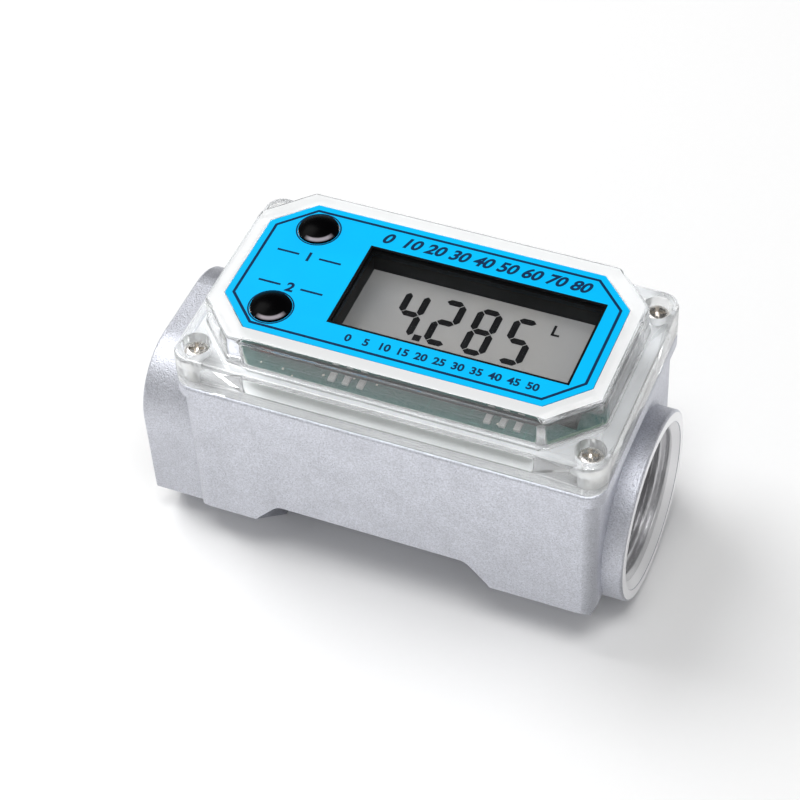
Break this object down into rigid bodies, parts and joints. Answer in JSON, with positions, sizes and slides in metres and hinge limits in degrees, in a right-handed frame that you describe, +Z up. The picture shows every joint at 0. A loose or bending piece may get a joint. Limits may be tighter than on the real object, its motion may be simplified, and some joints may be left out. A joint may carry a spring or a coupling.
{
  "type": "turbine flow meter",
  "caption": "Inline turbine flow meter: cast body with threaded ports, feet and a clear eight sided cover over a display and push buttons; a bladed rotor spins in the bore.",
  "frame": {"origin": "centre of the base, on the plane that the feet stand on", "axes": "+X along the flow from the inlet to the outlet, +Z up out of the display face, -Y towards the front, where the display reads upright"},
  "size_m": [0.1062, 0.0512, 0.0663],
  "materials": {
    "cast_aluminium": "bead blasted casting with machined port faces",
    "seal_rubber": "matt black seal",
    "clear_plastic": "clear moulded polycarbonate",
    "label_film": "printed blue face film",
    "black_plastic": "fine black moulding",
    "display_glass": "grey reflective liquid crystal panel",
    "button_plastic": "polished black domed cap",
    "board_laminate": "green solder mask over copper",
    "zinc_steel": "bright zinc plate",
    "chip_resin": "dark moulding compound",
    "component_ceramic": "ceramic and tantalum parts",
    "copper_wire": "enamelled copper winding",
    "soft_iron": "ground soft iron",
    "tinned_pin": "bright tin plate",
    "battery_sleeve": "plain printed sleeve over a steel can",
    "nickel_steel": "bright nickel plate",
    "rotor_plastic": "natural moulded acetal",
    "magnet": "nickel plated magnet",
    "bush_bronze": "sintered bronze",
    "shaft_steel": "hard stainless steel",
    "support_plastic": "dark moulded nylon"
  },
  "bodies": {
    "housing": {"meter_body": "cast_aluminium", "cover_gasket": "seal_rubber", "clear_cover": "clear_plastic", "face_label": "label_film", "display_bezel": "black_plastic", "display_glass": "display_glass", "display_connectors": "seal_rubber", "front_switch": "black_plastic", "back_switch": "black_plastic", "circuit_board": "board_laminate", "board_screws": "zinc_steel", "microcontroller": "chip_resin", "crystal": "zinc_steel", "board_components": "component_ceramic", "pickup_coil": "black_plastic", "coil_winding": "copper_wire", "coil_core": "soft_iron", "coil_pins": "tinned_pin", "battery_tray": "black_plastic", "front_battery": "battery_sleeve", "back_battery": "battery_sleeve", "battery_contacts": "zinc_steel", "battery_pins": "tinned_pin", "cover_screws": "nickel_steel", "rotor_shaft": "shaft_steel", "thrust_washers": "shaft_steel", "inlet_support": "support_plastic", "outlet_support": "support_plastic", "flow_sleeve": "support_plastic", "retaining_ring": "shaft_steel"},
    "rotor": {"turbine_rotor": "rotor_plastic", "rotor_magnets": "magnet", "rotor_bushes": "bush_bronze"},
    "front_button": {"front_button": "button_plastic", "front_plunger": "black_plastic"},
    "back_button": {"back_button": "button_plastic", "back_plunger": "black_plastic"}
  },
  "joints": [
    {"name": "rotor_spin", "type": "hinge", "parent": "housing", "child": "rotor", "pos_m": [-0.015, 0, 0.0215], "axis": [1, 0, 0], "continuous": true},
    {"name": "front_button_press", "type": "slide", "parent": "housing", "child": "front_button", "axis": [0, 0, -1], "range_m": [0, 0.0008], "stiffness_N_per_m": 600},
    {"name": "back_button_press", "type": "slide", "parent": "housing", "child": "back_button", "axis": [0, 0, -1], "range_m": [0, 0.0008], "stiffness_N_per_m": 600}
  ]
}
